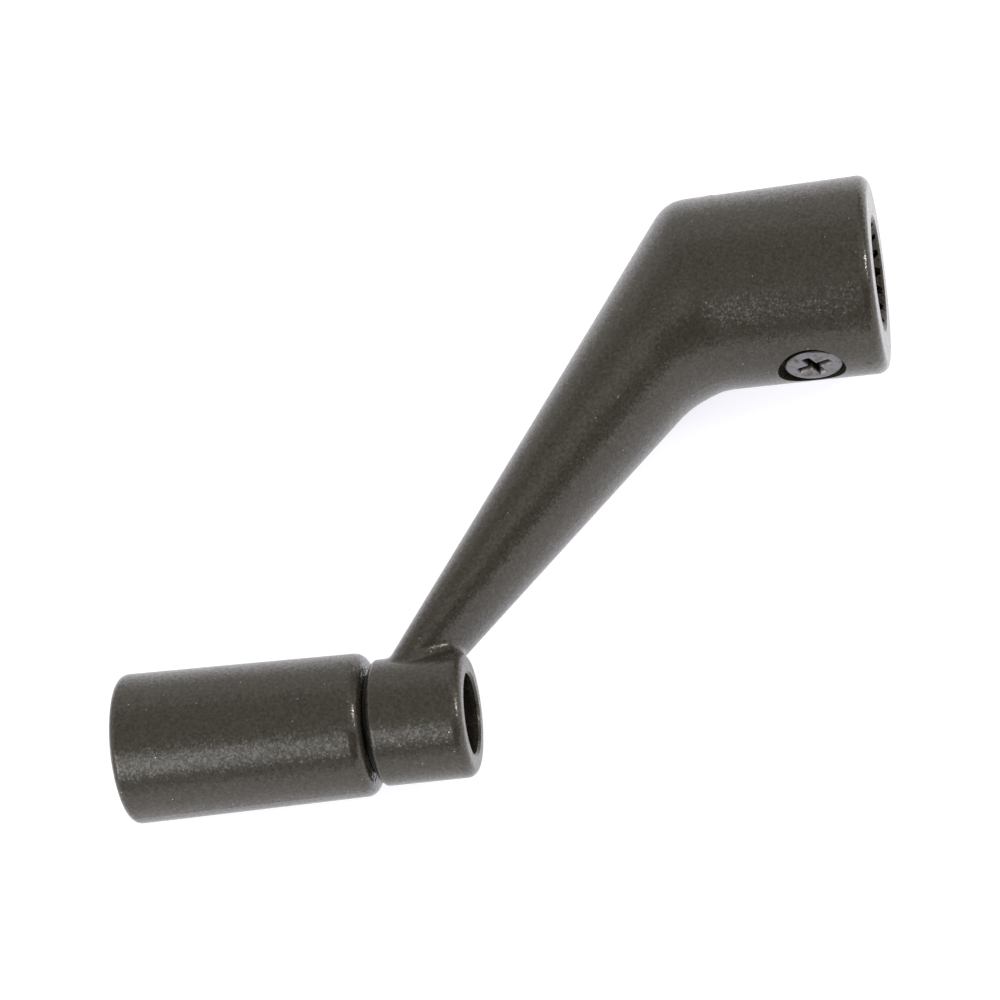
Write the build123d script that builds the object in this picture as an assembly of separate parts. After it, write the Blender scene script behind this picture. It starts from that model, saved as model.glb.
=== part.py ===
from build123d import *
from math import atan2, cos, degrees, pi, radians, sin, tan
import os

# Crank handle of a casement window operator, in millimetres.
#
# A die-cast crank arm slips over the operator's splined stud, and a set screw holds it there.
# A turned knob spins on a headed pin in the boss at the arm's far end.
#
# Frame: the origin is the centre of the hub's mouth, on the axis of its splined socket. +X leaves
# the mouth along that axis. The knob's axis is parallel to it, on the -Y side. +Z is square to the
# plane that holds both axes, so the crank lies on its side.

# ---------------------------------------------------------------- layout
CRANK_RADIUS = 36.5       # socket axis to knob axis
BOSS_BACK = 36.6          # hub's mouth to the boss's open face, along X
ELBOW_BACK = 16.0         # hub's mouth to where the arm's centre line leaves the socket axis
ARM_FOOT = 4.12           # boss's open face to the arm's centre line, at the boss's crown

# ---------------------------------------------------------------- hub and its splined socket
HUB_R = 8.55              # at the mouth
HUB_DRAFT = 0.6           # degrees, so that the casting leaves its die
HUB_EDGE = 0.95           # rounding of the mouth's outer edge
SPLINE_TEETH = 18
SPLINE_TIP_R = 4.4
TOOTH_HEIGHT = 0.5
TOOTH_SHARE = 0.42        # share of the pitch that a tooth takes at its tip
TOOTH_FLANK = 24.0        # degrees, from the radius to the tooth's flank
SOCKET_DEPTH = 12.5
LEAD_IN = 0.2             # how far the mouth's chamfer stands outside the spline's roots

# ---------------------------------------------------------------- arm, an oval bar tapering to the boss
ARM_ROOT_WIDTH = 12.0     # at the elbow, in the crank plane and square to the centre line
ARM_ROOT_DEPTH = 15.9     # at the elbow, along Z
ARM_END_WIDTH = 2.85      # the same two where the centre line reaches the knob's axis
ARM_END_DEPTH = 6.6
ELBOW_OUTER_R = 3.2
ELBOW_INNER_R = 6.4
BEND_STATIONS = 12        # cross sections that shape the elbow
ARM_STATIONS = 5          # cross sections that shape the arm
ARM_SINK = 0.8            # how far the arm's end runs into the boss
FOOT_FILLET = 0.8         # where the arm stands on the boss

# ---------------------------------------------------------------- boss and the knob's pin
BOSS_R = 5.3
BOSS_LENGTH = 8.0
BOSS_OPEN_EDGE = 0.9      # rounding at the open face
BOSS_KNOB_EDGE = 0.5      # rounding at the knob's end
COUNTERBORE_R = 3.4
COUNTERBORE_DEPTH = 5.4
COUNTERBORE_RIM = 0.2
PIN_R = 2.0
PIN_RUNNING = 0.05        # radial clearance of the pin in the boss and in the washer
PIN_HEAD_R = 3.1
PIN_HEAD_HEIGHT = 1.6
PIN_HEAD_EDGE = 0.35
PIN_END_PLAY = 0.1
PIN_GRIP_R = 1.7          # the pin's thinner end, pressed into the knob
PIN_GRIP_LENGTH = 9.0
PIN_GRIP_GAP = 0.02       # radial, stands for the press
PIN_POINT = 0.5

# ---------------------------------------------------------------- knob and thrust washer
KNOB_R = 6.35             # at the free end
KNOB_NECK_R = 6.0         # at the boss end
KNOB_LENGTH = 21.0        # to the rim of the free end
KNOB_GAP = 0.5            # knob to boss
KNOB_NECK_EDGE = 1.0
KNOB_TIP_EDGE = 0.7
KNOB_CROWN = 1.2          # how far the free end is domed
KNOB_BORE_SPARE = 1.0     # bore past the pin's end
WASHER_R = 4.1
WASHER_PLAY = 0.05        # on each face

# ---------------------------------------------------------------- set screw
SCREW_BACK = 6.1          # hub's mouth to the screw's axis
SCREW_R = 2.47
SCREW_CLEARANCE = 0.05    # radial, stands for the thread's
SCREW_LENGTH = 2.95
SCREW_SUNK = 0.4          # the screw's face below the hub's crown
SCREW_EDGE = 0.1
SINK_R = 2.9              # the cast sink round the screw
SINK_DEPTH = 1.3          # from the hub's crown
SINK_OFF = 0.2            # the sink's centre behind the tapped hole's
RECESS_WIDTH = 0.75       # cross recess
RECESS_SPAN = 2.9
RECESS_DEPTH = 1.1
RECESS_TAPER = 12.0       # degrees

# ---------------------------------------------------------------- places that follow from the sizes
knob_axis_y = -CRANK_RADIUS
boss_open_x = -BOSS_BACK
boss_knob_x = boss_open_x - BOSS_LENGTH
knob_face_x = boss_knob_x - KNOB_GAP
arm_lean = atan2(BOSS_BACK + ARM_FOOT - ELBOW_BACK, CRANK_RADIUS - BOSS_R)
arm_length = CRANK_RADIUS / cos(arm_lean)
root_r = SPLINE_TIP_R + TOOTH_HEIGHT
up = Vector(0, 0, 1)


def hub_r(x):
    """The drafted hub's radius at x."""
    return HUB_R + x * tan(radians(HUB_DRAFT))


def rod(x_start, x_end, radius, y=0.0, end_radius=None):
    """A round bar or a plain cone about an X axis, from x_start back to x_end."""
    start = Plane(origin=(x_start, y, 0), z_dir=(-1, 0, 0))
    if end_radius is None:
        return extrude(start * Circle(radius), amount=x_start - x_end)
    end = Plane(origin=(x_end, y, 0), z_dir=(-1, 0, 0))
    return loft([start * Circle(radius), end * Circle(end_radius)])


# ================================================================ crank arm: the casting's outline
# The plan is the casting's outline in the crank plane: the hub, then the tapering arm, with the
# elbow's two corners rounded. The cross sections below each span it.
elbow = Vector(-ELBOW_BACK, 0)
along = Vector(-sin(arm_lean), -cos(arm_lean))
outward = Vector(-cos(arm_lean), sin(arm_lean))


def arm_half(root, end, s):
    """Half of the arm's width or depth at the distance s from the elbow."""
    return (root + (end - root) * s / arm_length) / 2


def arm_edge(side, s):
    """A point of the arm's outer (side 1) or inner (side -1) edge at the distance s."""
    return elbow + along * s + outward * side * arm_half(ARM_ROOT_WIDTH, ARM_END_WIDTH, s)


def hub_edge(side, x):
    return Vector(x, side * hub_r(x))


def corner(side):
    """Where the hub's edge and the arm's edge would meet, before the elbow is rounded."""
    p, d = hub_edge(side, 0), hub_edge(side, -1) - hub_edge(side, 0)
    q, e = arm_edge(side, 0), arm_edge(side, 1) - arm_edge(side, 0)
    return p + d * ((q - p).cross(e).Z / d.cross(e).Z)


end_out = arm_edge(1, arm_length)
end_in = arm_edge(-1, arm_length)
outer_side = FilletPolyline(hub_edge(1, 0), corner(1), end_out, radius=ELBOW_OUTER_R)
inner_side = FilletPolyline(end_in, corner(-1), hub_edge(-1, 0), radius=ELBOW_INNER_R)
plan = make_face(
    outer_side + Line(end_out, end_in) + inner_side + Line(hub_edge(-1, 0), hub_edge(1, 0))
)


def oval(inner, outer, half_depth):
    """A cross section between two points of the crank plane, square to that plane."""
    half_width = (outer - inner).length / 2
    place = Plane(origin=(inner + outer) / 2, x_dir=outer - inner, z_dir=up.cross(outer - inner))
    front = EllipticalCenterArc((0, 0), half_width, half_depth, start_angle=0, arc_size=180)
    back = EllipticalCenterArc((0, 0), half_width, half_depth, start_angle=180, arc_size=180)
    return place * make_face(front + back)


def span(point, direction):
    """The inner and the outer point where a line through the plan meets its outline."""
    reach = direction * 4 * CRANK_RADIUS
    chord = plan.intersect(Line(point - reach, point + reach))
    ends = [v.center() for v in chord.vertices()]
    ends.sort(key=lambda v: v.dot(direction))
    return ends[0], ends[-1]


# ================================================================ crank arm: bend, arm and boss
# The bend's sections turn about the centre of the inner corner's rounding, from square to the
# socket's axis to square to the arm's inner edge. Their depth eases from the hub's to the arm's.
pivot = inner_side.edges().filter_by(GeomType.CIRCLE)[0].arc_center
inner_run = corner(-1) - end_in
fan = 90 - degrees(atan2(inner_run.Y, inner_run.X))
bend_sections = [oval(hub_edge(-1, pivot.X), hub_edge(1, pivot.X), hub_r(pivot.X))]
for k in range(1, BEND_STATIONS + 1):
    angle = radians(fan * k / BEND_STATIONS)
    inner, outer = span(pivot, Vector(-sin(angle), cos(angle)))
    bend_end = ((inner + outer) / 2 - elbow).dot(along)
    arm_depth = arm_half(ARM_ROOT_DEPTH, ARM_END_DEPTH, max(bend_end, 0))
    ease = (1 - cos(pi * k / BEND_STATIONS)) / 2
    bend_sections.append(oval(inner, outer, hub_r(pivot.X) * (1 - ease) + arm_depth * ease))

# The arm's sections are square to its centre line. The last lies along the boss, deep inside it,
# and the arm is then cut back to a shallow bite in the boss.
foot_y = knob_axis_y + 0.6 * BOSS_R
foot_s = -foot_y / cos(arm_lean)
arm_sections = [bend_sections[-1]]
for k in range(1, ARM_STATIONS):
    s = bend_end + (foot_s - bend_end) * k / ARM_STATIONS
    half_depth = arm_half(ARM_ROOT_DEPTH, ARM_END_DEPTH, s)
    arm_sections.append(oval(arm_edge(-1, s), arm_edge(1, s), half_depth))
inner, outer = span(Vector(0, foot_y), Vector(-1, 0))
arm_sections.append(oval(inner, outer, arm_half(ARM_ROOT_DEPTH, ARM_END_DEPTH, foot_s)))

hub = rod(0, pivot.X, HUB_R, end_radius=hub_r(pivot.X))
arm = loft(arm_sections)
arm -= rod(boss_open_x, boss_knob_x - BOSS_LENGTH, BOSS_R - ARM_SINK, knob_axis_y)
boss = rod(boss_open_x, boss_knob_x, BOSS_R, knob_axis_y)
boss = fillet(boss.edges().sort_by(Axis.X)[-1], BOSS_OPEN_EDGE)
boss = fillet(boss.edges().sort_by(Axis.X)[0], BOSS_KNOB_EDGE)
casting = hub + loft(bend_sections) + arm + boss

boss_top = knob_axis_y + BOSS_R
foot = casting.edges().filter_by(lambda e: e.geom_type == GeomType.BSPLINE and e.center().Y < boss_top)
casting = fillet(foot, FOOT_FILLET)
mouth = casting.edges().filter_by(GeomType.CIRCLE).sort_by(Axis.X)[-1]
casting = fillet(mouth, HUB_EDGE)

# ================================================================ crank arm: socket
# An 18-tooth internal spline, cast in: a round socket to the tooth tips, with a tapering groove
# between each two teeth, and one cone that leads the stud in.
pitch = 360 / SPLINE_TEETH
groove_tip_half = SPLINE_TIP_R * sin(radians(pitch * (1 - TOOTH_SHARE) / 2))
groove_root_half = groove_tip_half - TOOTH_HEIGHT * tan(radians(TOOTH_FLANK))
with BuildSketch(Plane(origin=(0, 0, 0), x_dir=(0, 1, 0), z_dir=(-1, 0, 0))) as spline:
    Circle(SPLINE_TIP_R)
    with BuildSketch(mode=Mode.PRIVATE) as groove:
        with BuildLine():
            Polyline(
                (SPLINE_TIP_R * cos(radians(pitch / 2)) - TOOTH_HEIGHT, -groove_tip_half),
                (SPLINE_TIP_R, -groove_tip_half),
                (root_r, -groove_root_half),
                (root_r, groove_root_half),
                (SPLINE_TIP_R, groove_tip_half),
                (SPLINE_TIP_R * cos(radians(pitch / 2)) - TOOTH_HEIGHT, groove_tip_half),
                close=True,
            )
        make_face()
    with PolarLocations(0, SPLINE_TEETH):
        add(groove.sketch)
casting -= extrude(spline.sketch, amount=SOCKET_DEPTH)
casting -= rod(0, -(LEAD_IN + TOOTH_HEIGHT), root_r + LEAD_IN, end_radius=SPLINE_TIP_R)

# ================================================================ crank arm: counterbore and pin hole
casting -= rod(boss_open_x, boss_open_x - COUNTERBORE_DEPTH, COUNTERBORE_R, knob_axis_y)
casting -= rod(boss_open_x, boss_knob_x, PIN_R + PIN_RUNNING, knob_axis_y)
rim = casting.edges().filter_by(GeomType.CIRCLE).filter_by(
    lambda e: abs(e.radius - COUNTERBORE_R) < 1e-6 and abs(e.center().X - boss_open_x) < 1e-6
)
casting = chamfer(rim, COUNTERBORE_RIM)

# ================================================================ crank arm: set screw's hole
# Local Z of this place points into the hub, from the crown of its knob side.
screw_place = Plane(origin=(-SCREW_BACK, -hub_r(-SCREW_BACK), 0), x_dir=(1, 0, 0), z_dir=(0, 1, 0))
hole_r = SCREW_R + SCREW_CLEARANCE
hole_depth = hub_r(-SCREW_BACK) - SPLINE_TIP_R * cos(radians(pitch))
hole = extrude(screw_place * Circle(hole_r), amount=hole_depth)
outside = screw_place.offset(-SINK_DEPTH)
sink = extrude(outside * Pos(-SINK_OFF, 0) * Circle(SINK_R), amount=2 * SINK_DEPTH)
casting -= hole + sink

# ================================================================ set screw
screw_face = screw_place.offset(SCREW_SUNK)
set_screw = extrude(screw_face * Circle(SCREW_R), amount=SCREW_LENGTH)
set_screw = chamfer(set_screw.edges().filter_by(GeomType.CIRCLE), SCREW_EDGE)
cross = Rectangle(RECESS_SPAN, RECESS_WIDTH) + Rectangle(RECESS_WIDTH, RECESS_SPAN)
set_screw -= extrude(screw_face * cross, amount=RECESS_DEPTH, taper=RECESS_TAPER)

# ================================================================ knob's pin
head_x = boss_open_x - COUNTERBORE_DEPTH + PIN_END_PLAY
head = rod(head_x + PIN_HEAD_HEIGHT, head_x, PIN_HEAD_R, knob_axis_y)
head = fillet(head.edges().sort_by(Axis.X)[-1], PIN_HEAD_EDGE)
grip = rod(knob_face_x, knob_face_x - PIN_GRIP_LENGTH, PIN_GRIP_R, knob_axis_y)
grip = chamfer(grip.edges().sort_by(Axis.X)[0], PIN_POINT)
knob_pin = head + rod(head_x, knob_face_x, PIN_R, knob_axis_y) + grip

# ================================================================ thrust washer
washer_x = boss_knob_x - WASHER_PLAY
thrust_washer = rod(washer_x, knob_face_x + WASHER_PLAY, WASHER_R, knob_axis_y)
thrust_washer -= rod(washer_x, knob_face_x + WASHER_PLAY, PIN_R + PIN_RUNNING, knob_axis_y)

# ================================================================ knob: turned round its axis
# Local X of this place runs from the knob's neck to its free end, and local Y is the radius.
knob_place = Plane(origin=(knob_face_x, knob_axis_y, 0), x_dir=(-1, 0, 0), z_dir=(0, 0, 1))
knob_axis = Axis((knob_face_x, knob_axis_y, 0), (-1, 0, 0))
crown_r = (KNOB_R**2 + KNOB_CROWN**2) / (2 * KNOB_CROWN)
profile = make_face(
    Polyline((0, 0), (0, KNOB_NECK_R), (KNOB_LENGTH, KNOB_R))
    + RadiusArc((KNOB_LENGTH, KNOB_R), (KNOB_LENGTH + KNOB_CROWN, 0), crown_r)
    + Line((KNOB_LENGTH + KNOB_CROWN, 0), (0, 0))
)
tip_corner = profile.vertices().sort_by(Axis.Y)[-1]
profile = fillet(tip_corner, KNOB_TIP_EDGE)
neck_corner = profile.vertices().sort_by(Axis.X)[:2].sort_by(Axis.Y)[-1]
profile = fillet(neck_corner, KNOB_NECK_EDGE)
knob = revolve(knob_place * profile, axis=knob_axis)
bore_end_x = knob_face_x - PIN_GRIP_LENGTH - KNOB_BORE_SPARE
knob -= rod(knob_face_x, bore_end_x, PIN_GRIP_R + PIN_GRIP_GAP, knob_axis_y)

# ================================================================ the named pieces
pieces = {
    "crank_arm": casting,
    "set_screw": set_screw,
    "knob_pin": knob_pin,
    "thrust_washer": thrust_washer,
    "knob": knob,
}
os.makedirs("parts", exist_ok=True)
for name, piece in pieces.items():
    piece.label = name
    export_step(piece, f"parts/{name}.step")
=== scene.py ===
# %% [markdown]
# # A window crank handle, dressed for the studio
#
# The crank arm, its knob, the pin, the thrust washer and the set screw come from the imported model,
# in metres and in one frame: the origin is the hub's mouth, +X leaves the mouth, the knob lies on
# the -Y side and +Z points away from the floor. The solids already have the right shapes, so most
# of the work here is finish: a dark bronze coat with fine flakes, nearly black metal painted inside
# the splined socket as painted shade, and the few marks that the coat has. Only the set screw is
# made again, with its thread.

# %% Load the imported model and measure it
from math import atan2, cos, pi, radians, sin

import bmesh
import bpy
from mathutils import Matrix, Vector


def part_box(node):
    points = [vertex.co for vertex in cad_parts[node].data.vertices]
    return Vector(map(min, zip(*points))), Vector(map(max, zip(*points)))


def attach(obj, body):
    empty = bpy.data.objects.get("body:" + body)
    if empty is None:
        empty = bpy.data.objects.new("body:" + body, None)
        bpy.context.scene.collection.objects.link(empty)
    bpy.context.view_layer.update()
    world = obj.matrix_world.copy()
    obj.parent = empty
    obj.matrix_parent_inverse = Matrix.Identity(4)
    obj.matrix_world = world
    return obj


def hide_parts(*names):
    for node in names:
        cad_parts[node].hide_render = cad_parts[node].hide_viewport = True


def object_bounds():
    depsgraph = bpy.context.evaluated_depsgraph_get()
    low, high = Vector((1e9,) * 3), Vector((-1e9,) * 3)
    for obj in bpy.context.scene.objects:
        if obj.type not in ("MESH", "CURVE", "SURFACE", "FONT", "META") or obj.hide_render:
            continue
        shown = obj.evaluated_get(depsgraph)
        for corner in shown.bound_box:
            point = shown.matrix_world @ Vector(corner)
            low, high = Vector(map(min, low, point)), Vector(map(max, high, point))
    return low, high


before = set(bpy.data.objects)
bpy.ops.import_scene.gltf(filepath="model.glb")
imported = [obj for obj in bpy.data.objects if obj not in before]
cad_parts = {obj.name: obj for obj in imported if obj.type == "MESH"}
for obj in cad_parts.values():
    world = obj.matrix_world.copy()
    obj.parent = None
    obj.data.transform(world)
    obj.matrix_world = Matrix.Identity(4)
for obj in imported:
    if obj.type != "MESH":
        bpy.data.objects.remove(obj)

cad_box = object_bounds()
box_low, box_high = Vector(cad_box[0]), Vector(cad_box[1])
middle = (box_low + box_high) / 2
MM = 0.001

# %% [markdown]
# ## Where things are
#
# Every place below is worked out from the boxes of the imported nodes, so that a finish follows the
# model when a size changes. The knob's box gives the knob's axis; the screw's box gives the
# screw's axis and its two ends.

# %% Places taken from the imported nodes
arm_low, arm_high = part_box("crank_arm")
knob_low, knob_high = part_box("knob")
screw_low, screw_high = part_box("set_screw")

hub_radius = arm_high.y
knob_radius = knob_high.z
knob_axis = Vector((0, (knob_low.y + knob_high.y) / 2, 0))
screw_centre = (screw_low + screw_high) / 2
print("hub radius", round(hub_radius / MM, 2), "knob radius", round(knob_radius / MM, 2))


# %% [markdown]
# ## Shader maths as Python
#
# A node tree is easier to read as a formula. `Wire` wraps the output socket of a node, and its
# operators add Math nodes, or Vector Math nodes where the socket is a vector. `Finish` holds one
# material, and its `node` method makes any node from its type, its settings and its inputs.

# %% Wires between nodes, and a material that makes them
def is_vector(value):
    """Whether that is a colour or a vector, as a wire or as plain numbers."""
    kind = value.socket.type if isinstance(value, Wire) else ""
    return isinstance(value, tuple) or kind in ("VECTOR", "RGBA")


class Wire:
    """The output socket of a node, with arithmetic."""

    def __init__(self, finish, socket):
        self.finish = finish
        self.socket = socket

    def _join(self, operation, first, second):
        kind = "ShaderNodeMath"
        if any(is_vector(value) for value in (first, second)):
            kind = "ShaderNodeVectorMath"
            first, second = (v if isinstance(v, (tuple, Wire)) else (v, v, v) for v in (first, second))
        return self.finish.node(kind, {"operation": operation}, first, second)

    def __add__(self, other):
        return self._join("ADD", self, other)

    def __radd__(self, other):
        return self._join("ADD", other, self)

    def __sub__(self, other):
        return self._join("SUBTRACT", self, other)

    def __rsub__(self, other):
        return self._join("SUBTRACT", other, self)

    def __mul__(self, other):
        return self._join("MULTIPLY", self, other)

    def __rmul__(self, other):
        return self._join("MULTIPLY", other, self)

    def __truediv__(self, other):
        return self._join("DIVIDE", self, other)

    def __rtruediv__(self, other):
        return self._join("DIVIDE", other, self)

    def largest(self, other):
        return self._join("MAXIMUM", self, other)


class Finish:
    """A material, or the world, whose nodes are made by calls."""

    def __init__(self, name, world=None):
        self.material = world or bpy.data.materials.new(name)
        self.material.use_nodes = True
        self.tree = self.material.node_tree
        self.tree.nodes.clear()
        self.end = self.tree.nodes.new("ShaderNodeOutputWorld" if world else "ShaderNodeOutputMaterial")

    def plug(self, target, value):
        if isinstance(value, Wire):
            self.tree.links.new(value.socket, target)
        elif value is not None:
            target.default_value = value

    def node(self, kind, settings=None, *values, output=0, **named):
        """A node of that kind: settings first, then its input sockets in order or by name."""
        made = self.tree.nodes.new(kind)
        for key, value in (settings or {}).items():
            setattr(made, key, value)
        for target, value in zip(made.inputs, values):
            self.plug(target, value)
        for key, value in named.items():
            self.plug(made.inputs[key.replace("_", " ")], value)
        return Wire(self, made.outputs[output])

    def place(self):
        """The surface point in the part's own frame, in metres."""
        return self.node("ShaderNodeTexCoord", output="Object")

    def split(self, vector):
        """The three numbers of a vector."""
        whole = self.node("ShaderNodeSeparateXYZ", None, vector)
        return [Wire(self, socket) for socket in whole.socket.node.outputs]

    def noise(self, point, size, detail=2.0, roughness=0.5):
        """Noise from 0 to 1 whose lumps are about that size, in metres."""
        return self.node(
            "ShaderNodeTexNoise", None, Vector=point, Scale=1 / size, Detail=detail, Roughness=roughness
        )

    def ramp(self, value, low, high):
        """0 below low, 1 above high, and smooth between them."""
        return self.node(
            "ShaderNodeMapRange",
            {"interpolation_type": "SMOOTHSTEP", "clamp": True},
            value, low, high, 0.0, 1.0,
        )

    def blend(self, share, first, second):
        """first where share is 0, second where it is 1; both are colours."""
        mixed = self.node("ShaderNodeMix", {"data_type": "RGBA"}, output=2)
        sockets = mixed.socket.node.inputs
        self.plug(sockets[0], share)
        self.plug(sockets[6], first)
        self.plug(sockets[7], second)
        return mixed

    def seen_directly(self):
        """1 for what the camera sees itself, in a mirror or through glass; 0 for diffuse light."""
        path = self.node("ShaderNodeLightPath").socket.node
        kinds = ("Is Camera Ray", "Is Glossy Ray", "Is Transmission Ray")
        camera_ray, glossy_ray, glass_ray = [Wire(self, path.outputs[kind]) for kind in kinds]
        return camera_ray.largest(glossy_ray).largest(glass_ray)

    def done(self, shader):
        self.tree.links.new(shader.socket, self.end.inputs["Surface"])
        return self.material


# %% [markdown]
# ## The camera
#
# The crank lies on its side, and the camera looks down on it steeply from a little to the right,
# rolled so that the arm runs across the picture. A long lens from arm's length keeps the two
# parallel cylinders nearly parallel in the picture.

# %% Aim the camera at the crank's middle
VIEW_AZIMUTH = radians(21.92)
VIEW_ELEVATION = radians(62.97)
VIEW_ROLL = radians(-26.22)
VIEW_DISTANCE = 0.340
VIEW_LENS = 143.7
aim = middle + Vector((0, -0.1 * MM, 0))

towards = Vector(
    (
        sin(VIEW_AZIMUTH) * cos(VIEW_ELEVATION),
        -cos(VIEW_AZIMUTH) * cos(VIEW_ELEVATION),
        sin(VIEW_ELEVATION),
    )
)
level = Vector((cos(VIEW_AZIMUTH), sin(VIEW_AZIMUTH), 0))
upright = towards.cross(level)
right = level * cos(VIEW_ROLL) + upright * sin(VIEW_ROLL)
top = towards.cross(right)

camera_data = bpy.data.cameras.new("camera")
camera_data.lens = VIEW_LENS
camera_data.sensor_width = 36
camera_data.clip_start = 0.01
camera_data.clip_end = 20
camera = bpy.data.objects.new("camera", camera_data)
bpy.context.scene.collection.objects.link(camera)
camera.matrix_world = Matrix.Translation(aim + towards * VIEW_DISTANCE) @ Matrix(
    (right, top, towards)
).transposed().to_4x4()
bpy.context.scene.camera = camera
print("camera", [round(v, 3) for v in camera.location], "looks at", [round(v, 4) for v in aim])

# %% [markdown]
# ## Floor and backdrop
#
# The hub is thicker than the knob, so the crank leans a little when it lies down. The floor here
# touches both, which puts the same small slope into the floor instead. Where the camera or a
# reflection sees the floor, part of its white is its own light, so it stays white behind the crank
# and still takes the crank's shadow. For diffuse light it is plain pale paint.

# %% The floor, tangent to the hub and to the knob
lean = atan2(hub_radius - knob_radius, 0 - knob_axis.y)
floor_normal = Vector((0, sin(lean), cos(lean)))
floor_point = Vector((middle.x, 0, 0)) - floor_normal * (hub_radius + 0.02 * MM)


def stage(name, mesh, finish):
    """A thing of the studio, not part of the crank."""
    mesh.materials.append(finish)
    thing = bpy.data.objects.new(name, mesh)
    bpy.context.scene.collection.objects.link(thing)
    return thing


FLOOR_SIZE = 6
FLOOR_OWN_LIGHT = 0.8
floor_finish = Finish("studio_floor")
paint = floor_finish.node("ShaderNodeBsdfDiffuse", None, (0.8, 0.8, 0.82, 1))
shaded = floor_finish.node("ShaderNodeBsdfDiffuse", None, (0.52, 0.5, 0.48, 1))
glow = floor_finish.node("ShaderNodeEmission", None, (0.985, 0.99, 1.06, 1), FLOOR_OWN_LIGHT)
white = floor_finish.node("ShaderNodeAddShader", None, shaded, glow)
floor_shader = floor_finish.node("ShaderNodeMixShader", None, floor_finish.seen_directly(), paint, white)
floor_across = Vector((1, 0, 0)) * FLOOR_SIZE / 2
floor_along = floor_normal.cross(floor_across)
floor_mesh = bpy.data.meshes.new("floor")
floor_mesh.from_pydata(
    [floor_point + floor_across * i + floor_along * j for i, j in ((-1, -1), (1, -1), (1, 1), (-1, 1))],
    [],
    [(0, 1, 2, 3)],
)
stage("floor", floor_mesh, floor_finish.done(floor_shader))
print("the floor leans", round(lean * 180 / pi, 2), "degrees")

# %% The world: pale for diffuse light, white behind the floor
WORLD_GREY = 0.85
bpy.context.scene.world = bpy.data.worlds.new("studio")
sky = Finish("studio", bpy.context.scene.world)
sky_grey = sky.node("ShaderNodeBackground", None, (WORLD_GREY, WORLD_GREY, WORLD_GREY, 1))
sky_white = sky.node("ShaderNodeBackground", None, (1, 1, 1, 1))
sky.done(sky.node("ShaderNodeMixShader", None, sky.seen_directly(), sky_grey, sky_white))
print("the world is", WORLD_GREY, "grey for diffuse light")

# %% [markdown]
# ## The light tent
#
# A dark satin coat shows its shape by what it mirrors, so the crank stands in a tent of curved
# panels, as small shiny things do in a studio. Each panel is given by two angles: its turn about
# the knob's axis, from straight up towards the knob's side, and its tilt towards the hub's mouth.
# Nearer panels hide farther ones. The front lamp gives the glittering band, the dark flag beside
# it the deep tone next to that band, and a small lamp beyond the mouth the lines of light on the
# rounded rims. The camera doesn't see the panels.

# %% Directions in the tent, and a panel
def tent_direction(tilt, turn):
    """The direction that leans by tilt to the mouth's side and turns by turn towards the knob."""
    return Vector((sin(tilt), -cos(tilt) * sin(turn), cos(tilt) * cos(turn)))


def tent_panel(name, level, distance, tilts, turns):
    """A curved panel of that brightness; the angles are in degrees."""
    columns, rows = 8, 12
    corners = []
    for i in range(columns + 1):
        for j in range(rows + 1):
            tilt = radians(tilts[0] + (tilts[1] - tilts[0]) * i / columns)
            turn = radians(turns[0] + (turns[1] - turns[0]) * j / rows)
            corners.append(middle + tent_direction(tilt, turn) * distance)
    step = rows + 1
    faces = [
        (i * step + j, i * step + j + 1, (i + 1) * step + j + 1, (i + 1) * step + j)
        for i in range(columns)
        for j in range(rows)
    ]
    cloth = Finish(name)
    cloth.done(cloth.node("ShaderNodeEmission", None, (1, 1, 1, 1), level))
    cloth.material.cycles.emission_sampling = "NONE"
    mesh = bpy.data.meshes.new(name)
    mesh.from_pydata(corners, [], faces)
    panel = stage(name, mesh, cloth.material)
    panel.visible_camera = False
    panel.visible_shadow = False
    print(name, "level", level)


# %% The two lamps
def soft_lamp(name, watts, colour, direction, width, height, spin):
    """A rectangular lamp that faces the crank; its width runs along spin."""
    light = bpy.data.lights.new(name, "AREA")
    light.shape = "RECTANGLE"
    light.size = width
    light.size_y = height
    light.energy = watts
    light.color = colour
    lamp = bpy.data.objects.new(name, light)
    bpy.context.scene.collection.objects.link(lamp)
    across = (spin - direction * spin.dot(direction)).normalized()
    turned = Matrix((across, direction.cross(across), direction)).transposed().to_4x4()
    lamp.matrix_world = Matrix.Translation(middle + direction * LAMP_DISTANCE) @ turned
    print(name, watts, "W")


LAMP_DISTANCE = 0.6
from_front = tent_direction(radians(-28), radians(50))
soft_lamp("front_lamp", 1.35, (0.97, 1, 1.03), from_front, 0.36, 0.30, Vector((1, 0, 0)))
from_mouth_side = tent_direction(radians(65), radians(-5))
soft_lamp("rim_lamp", 1.0, (1, 1, 1), from_mouth_side, 0.10, 0.10, Vector((0, -1, 0)))

# %% The panels of the tent, nearest first
tent_panel("front_flag", 0.15, 0.66, (-10, 65), (35, 90))
tent_panel("top_flag", 0.45, 0.68, (-30, 0), (-20, 30))
tent_panel("top_panel", 0.85, 0.70, (10, 90), (-40, 35))
tent_panel("rear_panel", 0.9, 0.72, (-90, 20), (-90, -40))
tent_panel("knob_end_panel", 1.0, 0.74, (-90, -35), (-40, 90))
tent_panel("tent", 0.5, 0.80, (-90, 90), (-90, 90))
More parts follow.
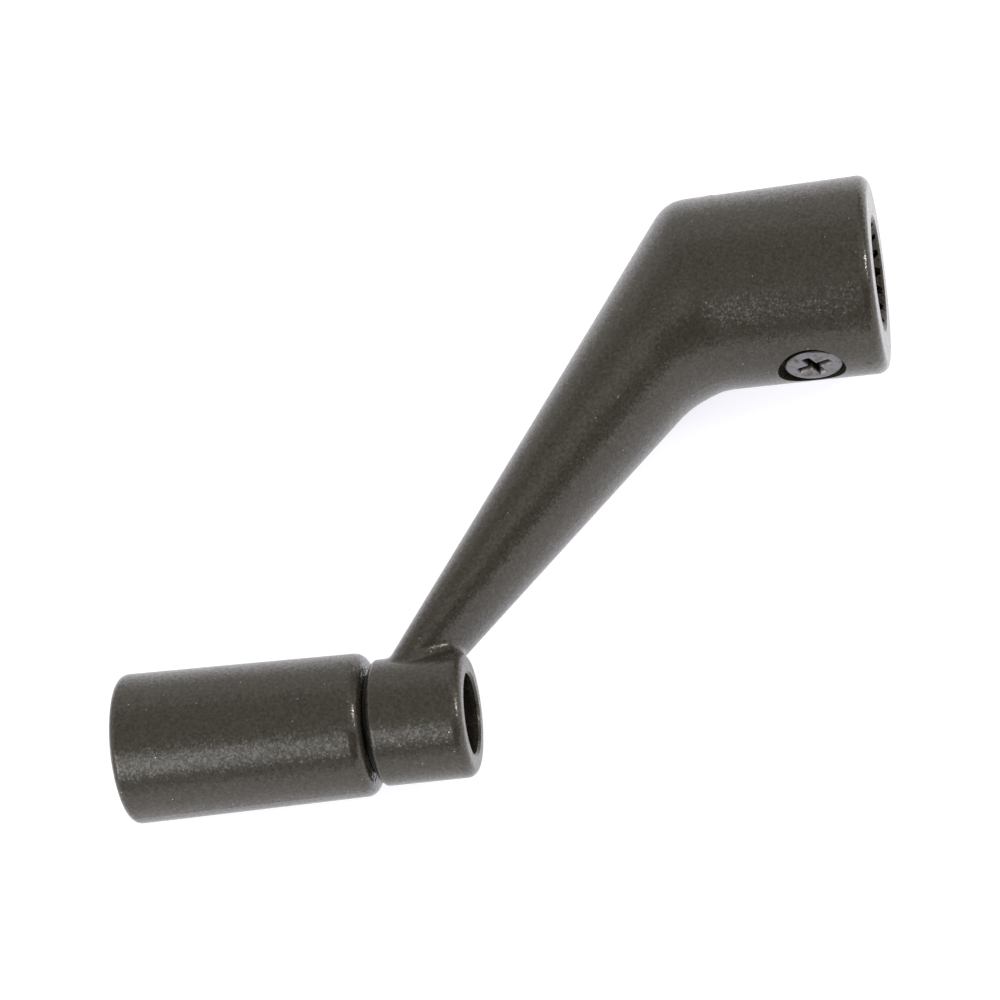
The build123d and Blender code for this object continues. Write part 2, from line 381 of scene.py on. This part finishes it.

# %% [markdown]
# ## The dark bronze coat
#
# The casting and the knob have one coat: a dark brown powder paint full of fine bright flakes
# under a satin clear layer. A coat like that is two things at once, a nearly flat brown and a
# broad metallic glow that breaks into specks, so each flake is a small cell of a Voronoi pattern
# with its own tilt, and the clear layer's gloss lies over it all. Hands have rubbed the rims a
# little smoother. Inside the socket and the bore the surface is painted as nearly black metal,
# which is painted shade for those hollows, and the coat has one chip near the mouth and one fine
# scratch on top.

# %% The coat's recipe
FLAKE_SIZE = 0.15 * MM
FLAKE_TILT = 0.20
MOTTLE_SIZE = 0.28 * MM
BROWN = (0.038, 0.032, 0.0235)
# nearly black metal: bare metal in the chip, and painted shade inside the socket and the bore
CHIP_AND_SHADE_METAL = (0.034, 0.028, 0.022)
SPARKLE = (0.55, 0.52, 0.46)
SPARKLE_SPACING = 1.1 * MM
SPARKLE_SIZE = 0.055 * MM
WOBBLE_SIZE = 0.16 * MM


def around_axis(finish, point, axis):
    """How far the surface point is from an axis that runs along X."""
    flat = (point - tuple(axis)) * (0, 1, 1)
    return finish.node("ShaderNodeVectorMath", {"operation": "LENGTH"}, flat, output=1)


# %% Damage, rubbed rims, and painted shade in the hollows
def stroke(finish, point, first, last, width, wobble):
    """1 within an uneven line between two places, 0 outside it."""
    along = last - first
    offset = point - tuple(first)
    dot = {"operation": "DOT_PRODUCT"}
    share = finish.node("ShaderNodeVectorMath", dot, offset, tuple(along), output=1)
    divide = {"operation": "DIVIDE", "use_clamp": True}
    share = finish.node("ShaderNodeMath", divide, share, along.length_squared)
    nearest = finish.node("ShaderNodeCombineXYZ", None, share, share, share) * tuple(along)
    gap = finish.node("ShaderNodeVectorMath", {"operation": "LENGTH"}, offset - nearest, output=1)
    reach = gap + (wobble - 0.5) * min(width, 0.13 * MM)
    return finish.ramp(reach, width * 1.5, width * 0.1)


def on_hub(back, turn):
    """The place on the hub that far behind the mouth, turned from the top to the knob's side."""
    turn = radians(turn)
    return Vector((arm_high.x - back, -hub_radius * sin(turn), hub_radius * cos(turn)))


# each: name, one end, other end, width, strength
DAMAGE = (
    ("chip", on_hub(1.5 * MM, 88), on_hub(1.3 * MM, 89), 0.20 * MM, 1.0),
    ("scratch", on_hub(6 * MM, -17), on_hub(5.2 * MM, -13), 0.10 * MM, 0.45),
)
# each: name, where the face is along X, how far its rounding reaches
KNOB_CROWN = 1.2 * MM
RIMS = (
    ("mouth of the hub", arm_high.x, 1.0 * MM),
    ("boss, knob's end", arm_low.x, 0.5 * MM),
    ("knob, boss's end", knob_high.x, 1.0 * MM),
    ("knob, free end", knob_low.x + KNOB_CROWN, 0.7 * MM),
)
# each: name, a point of its axis, its open end, the radius, depths where the painted shade starts
# and ends (each as where it fades out and where it is full), share of painted shade
BOSS_LENGTH = 8 * MM
SHADED_HOLLOWS = (
    ("socket", Vector(), arm_high.x, (5.3, 5.05), (0, 0.3), (13.5, 13), 1.0),
    ("bore", knob_axis, arm_low.x + BOSS_LENGTH, (3.55, 3.4), (0.3, 0.8), (9.0, 8.6), 0.5),
)
# the hollows counted here are painted shade
print(len(DAMAGE), "marks,", len(RIMS), "rubbed rims,", len(SHADED_HOLLOWS), "bare hollows")


# %% The coat itself
def bronze_coat(name):
    finish = Finish(name)
    point = finish.place()
    flakes = {"feature": "F1", "voronoi_dimensions": "3D"}
    tilt = finish.node("ShaderNodeTexVoronoi", flakes, Vector=point, Scale=1 / FLAKE_SIZE, output=1)
    chance, _, polish = finish.split(tilt)
    mottle = finish.noise(point, MOTTLE_SIZE, 3, 0.6)
    wobble = finish.noise(point, WOBBLE_SIZE, 2, 0.5)
    metal = chance * 0.45
    depth = finish.ramp(mottle, 0.2, 0.8) * 0.9 + 0.55
    brown = BROWN / (1 - metal) * depth

    nearest = finish.node("ShaderNodeTexVoronoi", flakes, Vector=point, Scale=1 / SPARKLE_SPACING)
    sparkle = finish.ramp(nearest * SPARKLE_SPACING, SPARKLE_SIZE, SPARKLE_SIZE * 0.6)

    place_x = finish.split(point)[0]
    dark = 0
    # painted shade: the socket and the bore turn to nearly black metal inside
    for _, axis, opening, radii, start, end, share in SHADED_HOLLOWS:
        radius = around_axis(finish, point, axis)
        hollow = finish.ramp(radius, radii[0] * MM, radii[1] * MM) * share
        for gone, full in (start, end):
            hollow = hollow * finish.ramp(place_x, opening - gone * MM, opening - full * MM)
        dark = hollow.largest(dark)
    for _, first, last, width, strength in DAMAGE:
        dark = dark.largest(stroke(finish, point, first, last, width, wobble) * strength)
    rubbed = 0
    for _, face, reach in RIMS:
        away = finish.node("ShaderNodeMath", {"operation": "ABSOLUTE"}, place_x - face)
        rubbed = rubbed + finish.ramp(away, reach, reach * 0.6)

    # the chip's bare metal, and the painted shade of the socket and the bore
    base = finish.blend(dark, brown, (*CHIP_AND_SHADE_METAL, 1))
    base = finish.blend(sparkle, base, (*SPARKLE, 1))
    plain_metal = sparkle.largest(dark)
    metallic = metal + (1 - metal) * plain_metal
    lean = (tilt - 0.5) * FLAKE_TILT
    shape = finish.node("ShaderNodeNewGeometry", output=1)
    normal = finish.node("ShaderNodeVectorMath", {"operation": "NORMALIZE"}, shape + lean)
    shader = finish.node(
        "ShaderNodeBsdfPrincipled",
        None,
        Base_Color=base,
        Metallic=metallic,
        Roughness=0.44 - 0.12 * finish.ramp(mottle, 0.3, 0.7) - 0.2 * polish - 0.12 * rubbed,
        Normal=normal,
        Specular_IOR_Level=0.35,
        Coat_Weight=0.3 - 0.25 * plain_metal,
        Coat_Roughness=0.22,
    )
    return finish.done(shader)


coat = bronze_coat("bronze_coat")
for node in ("crank_arm", "knob"):
    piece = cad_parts[node]
    piece.data.materials.clear()
    piece.data.materials.append(coat)
print("the coat is on crank_arm and knob")

# %% [markdown]
# ## The set screw
#
# The screw clamps the crank to its stud. It is a short headless screw with a cross recess and a
# rounded rim, turned from bar and thread-rolled. Its mesh is a stack of rings about the screw's
# axis: from the recess's floor up its walls, over the face and the rim, and down the thread, where
# the radius follows a helix. The recess's outline is a radius for each angle, so every ring has the
# same number of points and neighbouring rings join with plain quads.

# %% Make the set screw
SCREW_PITCH = 0.8 * MM
THREAD_DEPTH = 0.36 * MM
RECESS_WIDTH = 0.78 * MM
RECESS_SPAN = 3.2 * MM
RECESS_DEPTH = 1.05 * MM
RECESS_TURN = radians(23)
SCREW_STEPS = 240
screw_radius = (screw_high.x - screw_low.x) / 2
screw_face = screw_low.y
screw_length = screw_high.y - screw_face


def recess_edge(angle, width, span):
    """How far the cross recess reaches from the screw's axis in that direction."""
    turn = (angle - RECESS_TURN) % (pi / 2)
    turn = max(min(turn, pi / 2 - turn), 0.001)
    wing_end = span / 2 / cos(turn)
    wing_side = width / 2 / sin(turn)
    return (wing_end ** -14 + wing_side ** -14) ** (-1 / 14)


def thread_cut(depth, angle):
    """How deep the thread's groove is there, from 0 at its crest to 1 at its root."""
    phase = (depth / SCREW_PITCH + angle / (2 * pi)) % 1
    groove = min(1, max(0, 1.25 - abs(phase - 0.5) * 3.2))
    run_in = min(1, max(0, (depth - 0.3 * MM) / (0.3 * MM)))
    return groove * run_in


angles = [2 * pi * i / SCREW_STEPS for i in range(SCREW_STEPS)]
rings = [
    [(recess_edge(a, RECESS_WIDTH * 0.55, RECESS_SPAN * 0.72), RECESS_DEPTH) for a in angles],
    [(recess_edge(a, RECESS_WIDTH, RECESS_SPAN), 0.04 * MM) for a in angles],
    [(recess_edge(a, RECESS_WIDTH + 0.08 * MM, RECESS_SPAN + 0.08 * MM), 0) for a in angles],
]
for inset, depth in ((0.30, 0), (0.13, 0.01), (0.05, 0.04), (0.01, 0.09), (0, 0.16)):
    rings.append([(screw_radius - inset * MM, depth * MM)] * SCREW_STEPS)
rows = 30
for row in range(rows + 1):
    depth = 0.25 * MM + (screw_length - 0.5 * MM) * row / rows
    rings.append([(screw_radius - THREAD_DEPTH * thread_cut(depth, a), depth) for a in angles])
rings.append([(screw_radius - 0.5 * MM, screw_length)] * SCREW_STEPS)

screw_mesh = bpy.data.meshes.new("set_screw_threaded")
build = bmesh.new()


def screw_point(radius, angle, depth):
    """A vertex of the screw at that radius and angle, so deep below its face."""
    return build.verts.new(
        (screw_centre.x + radius * cos(angle), screw_face + depth, screw_centre.z + radius * sin(angle))
    )


verts = [[screw_point(r, a, d) for a, (r, d) in zip(angles, ring)] for ring in rings]
floor_middle = screw_point(0, 0, RECESS_DEPTH + 0.12 * MM)
end_middle = screw_point(0, 0, screw_length)
for i in range(SCREW_STEPS):
    j = (i + 1) % SCREW_STEPS
    build.faces.new((floor_middle, verts[0][j], verts[0][i]))
    build.faces.new((end_middle, verts[-1][i], verts[-1][j]))
    for low, high in zip(verts, verts[1:]):
        build.faces.new((low[i], low[j], high[j], high[i]))
bmesh.ops.recalc_face_normals(build, faces=build.faces)
for face in build.faces:
    face.smooth = True
build.to_mesh(screw_mesh)
build.free()
screw_mesh.set_sharp_from_angle(angle=radians(38))
set_screw = bpy.data.objects.new("set_screw_threaded", screw_mesh)
bpy.context.scene.collection.objects.link(set_screw)
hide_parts("set_screw")
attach(set_screw, "screw")
print("set screw", len(screw_mesh.polygons), "faces")


# %% [markdown]
# ## Steel
#
# The screw is blackened steel that has kept a little of the brown coat on its face; its recess is
# painted nearly black as painted shade. The pin is plain bright steel gone dull, and the washer is
# steel painted nearly black as painted shade; both sit deep in shadow.

# %% The dark steel of the screw
def dark_screw_steel(name):
    finish = Finish(name)
    point = finish.place()
    cloud = finish.noise(point, 0.9 * MM, 4, 0.65)
    stain = finish.ramp(cloud, 0.48, 0.68)
    # painted shade: below the face the recess turns nearly black
    depth = finish.split(point)[1] - screw_face
    recess = finish.ramp(depth, 0.02 * MM, 0.3 * MM)
    base = finish.blend(stain, (0.18, 0.177, 0.185, 1), (0.10, 0.08, 0.062, 1))
    base = finish.blend(recess, base, (0.03, 0.024, 0.018, 1))
    shader = finish.node(
        "ShaderNodeBsdfPrincipled", None, Base_Color=base, Metallic=0.85, Roughness=0.32 + 0.2 * stain
    )
    return finish.done(shader)


# %% The dull steel of pin and washer
def dull_steel(name, colour):
    finish = Finish(name)
    cloud = finish.noise(finish.place(), 0.5 * MM, 3, 0.6)
    shader = finish.node(
        "ShaderNodeBsdfPrincipled", None, Base_Color=(*colour, 1), Metallic=0.9,
        Roughness=0.34 + 0.16 * cloud,
    )
    return finish.done(shader)


for piece, finish in (
    (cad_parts["knob_pin"], dull_steel("pin_steel", (0.10, 0.095, 0.09))),
    # the washer's near-black colour is painted shade in the gap between knob and boss
    (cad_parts["thrust_washer"], dull_steel("washer_painted_shade_steel", (0.03, 0.029, 0.028))),
    (set_screw, dark_screw_steel("screw_steel")),
):
    piece.data.materials.clear()
    piece.data.materials.append(finish)
    print(finish.name, "is on", piece.name)

# %% Look, and the end
bpy.context.scene.view_settings.view_transform = "Standard"
